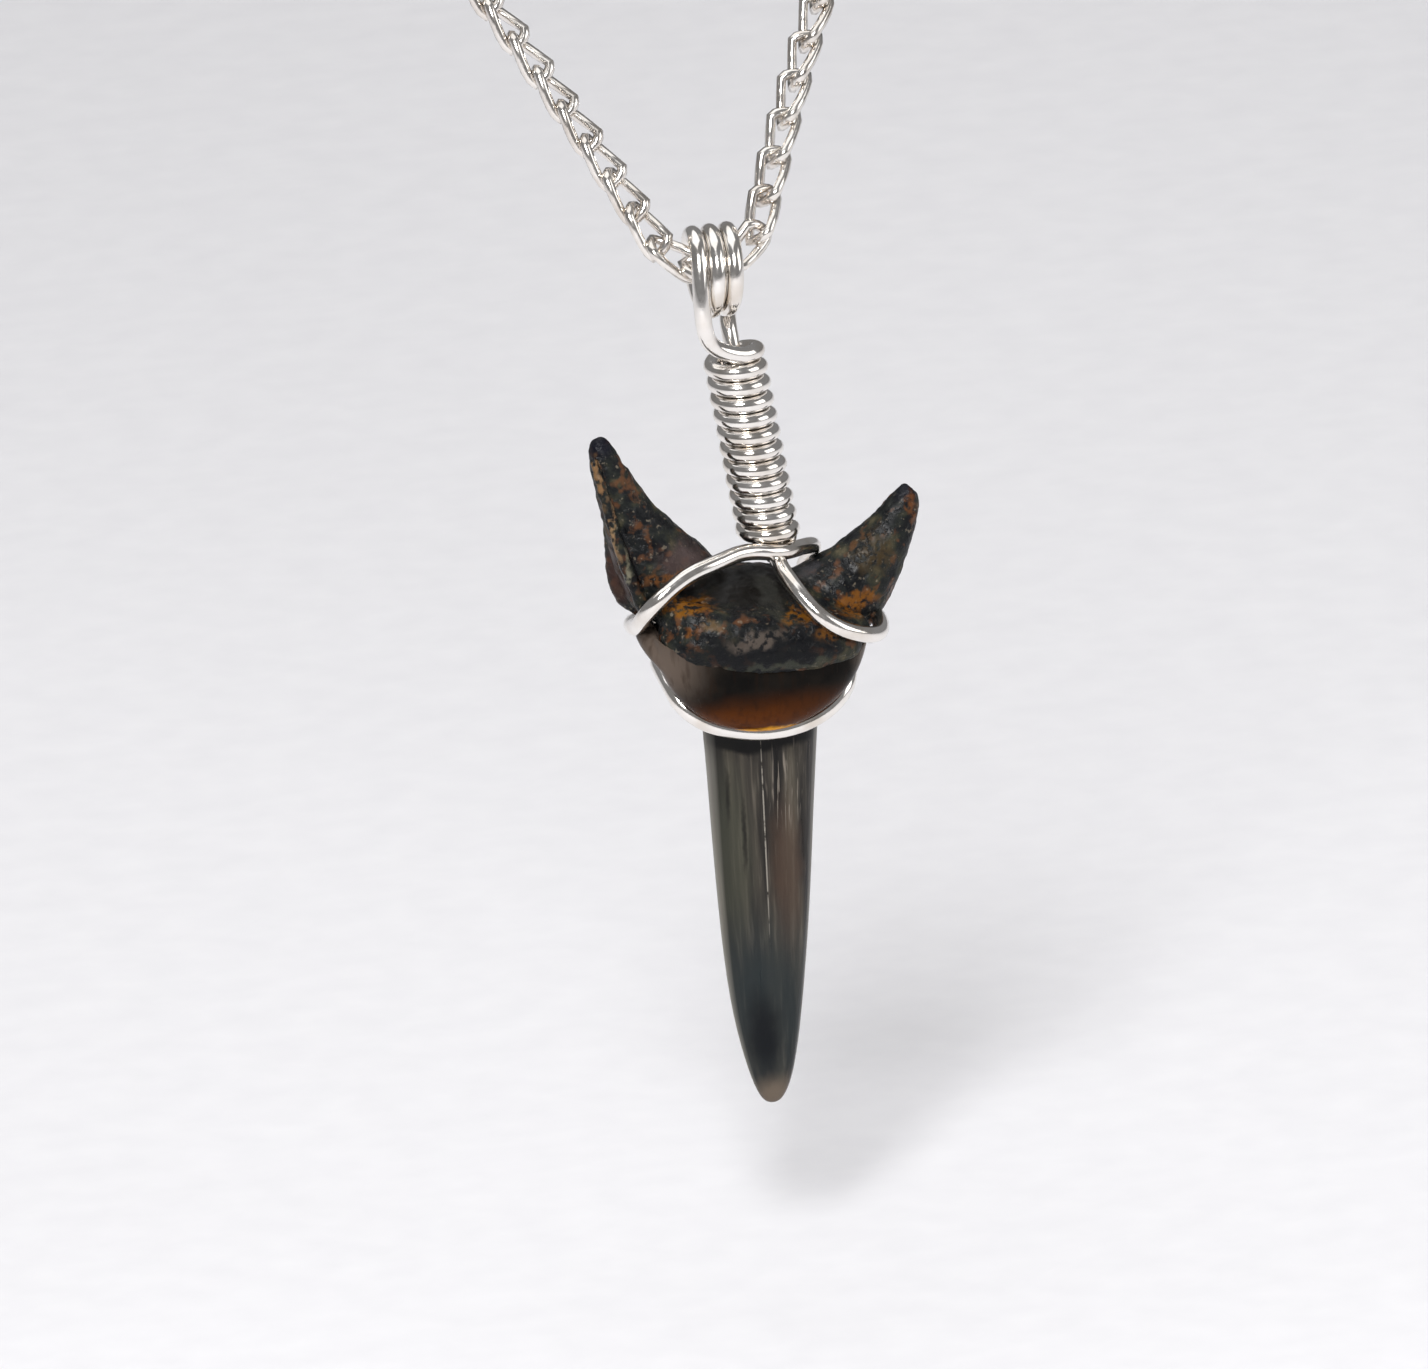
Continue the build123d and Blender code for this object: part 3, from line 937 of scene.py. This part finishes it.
def make_chain(material):
    """Chain: the lowest link and both arms, joined into one piece."""
    link = link_wire()
    joints = arm_joints()
    links = [set_link(link, (-LINK_PITCH / 2, 0), (LINK_PITCH / 2, 0), 0)]
    for side, full_roll in ((1, RIGHT_ROLL), (-1, LEFT_ROLL)):
        for number in range(LINKS_PER_SIDE):
            start = (side * joints[number][0], joints[number][1])
            end = (side * joints[number + 1][0], joints[number + 1][1])
            distance = (number + 1) * LINK_PITCH
            share = distance / (side_length + LINK_PITCH)
            roll = min(distance / ROLL_LENGTH, 1) * (full_roll * (1 - share) + NAPE_ROLL * share)
            links.append(set_link(link, start, end, roll))
    bpy.data.objects.remove(link)
    only(links[0])
    for copy in links:
        copy.select_set(True)
    bpy.ops.object.join()
    finish_piece(links[0], "curb_chain", "necklace", material, ["chain"])


# Floor, camera and light


def make_floor(height):
    """Plain pale floor."""
    bpy.ops.object.select_all(action="DESELECT")
    bpy.ops.mesh.primitive_plane_add(size=FLOOR_SIZE, location=(0, 0, height))
    floor = bpy.context.active_object
    floor.name = "floor"
    floor.data.materials.append(white_card())


def place_camera():
    """Camera at the photo's angle, with the lowest link where the picture shows it."""
    azimuth = math.radians(CAMERA_AZIMUTH)
    drop = math.radians(CAMERA_HEIGHT)
    tilt = math.radians(CAMERA_ROLL)
    level_right = Vector((math.cos(azimuth), math.sin(azimuth), 0))
    ahead = Vector((
        -math.sin(azimuth) * math.cos(drop),
        math.cos(azimuth) * math.cos(drop),
        -math.sin(drop),
    ))
    level_up = level_right.cross(ahead)
    up = level_up * math.cos(tilt) + level_right * math.sin(tilt)
    right = ahead.cross(up)
    across = (PICTURE_WIDTH / 2 - HANG_PIXEL[0]) / PIXELS_PER_MM
    below = (PICTURE_HEIGHT / 2 - HANG_PIXEL[1]) / PIXELS_PER_MM
    aim = (HANG + right * across - up * below) * MM
    lens = bpy.data.cameras.new("camera")
    lens.sensor_width = FILM_WIDTH
    lens.lens = FILM_WIDTH * CAMERA_DISTANCE * PIXELS_PER_MM / PICTURE_WIDTH
    lens.clip_start = NEAR_END
    lens.clip_end = FAR_END
    camera = bpy.data.objects.new("camera", lens)
    bpy.context.collection.objects.link(camera)
    turned = Matrix((right, up, -ahead)).transposed().to_4x4()
    camera.matrix_world = Matrix.Translation(aim - ahead * CAMERA_DISTANCE * MM) @ turned
    bpy.context.scene.camera = camera


def soft_light(name, target, offset, size, power, spread):
    """Square soft light, this far from its target and turned to it, that spreads over this angle."""
    light = bpy.data.lights.new(name, "AREA")
    light.size = size
    light.energy = power
    light.spread = math.radians(spread)
    holder = bpy.data.objects.new(name, light)
    bpy.context.collection.objects.link(holder)
    place = target + Vector(offset)
    turned = (target - place).to_track_quat("-Z", "Y").to_matrix().to_4x4()
    holder.matrix_world = Matrix.Translation(place) @ turned


def pale_room():
    """Even pale light from all round."""
    room = bpy.data.worlds.new("room")
    room.use_nodes = True
    background = room.node_tree.nodes["Background"]
    background.inputs["Color"].default_value = shade(ROOM_TONE)
    background.inputs["Strength"].default_value = ROOM_STRENGTH
    bpy.context.scene.world = room


wire_silver = polished_silver("polished_sterling_wire", *WIRE_SILVER)
chain_silver = polished_silver("polished_sterling_chain", *CHAIN_SILVER)
root_dentine = fossil_root()
neck_enamel = fossil_neck()
crown_enamel = fossil_crown()

make_root(root_dentine)
make_neck(neck_enamel)
make_crown(crown_enamel)
make_cradle(wire_silver)
make_bail(wire_silver)
make_chain(chain_silver)

# The clasp keeps its solid
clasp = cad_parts["clasp"]
clasp.data.materials.clear()
clasp.data.materials.append(chain_silver)

floor_height = (HANG.z - TIP_DROP - FLOOR_DROP) * MM
make_floor(floor_height)
place_camera()

# Soft key from the upper left front, broad overhead light, weaker fill from the right, pale room
targets = {"pendant": hung(*PENDANT_MIDDLE), "floor": Vector((0, 0, floor_height))}
for name, target, offset, size, power, spread in LIGHTS:
    soft_light(name, targets[target], offset, size, power, spread)
pale_room()
bpy.context.scene.view_settings.view_transform = "Standard"
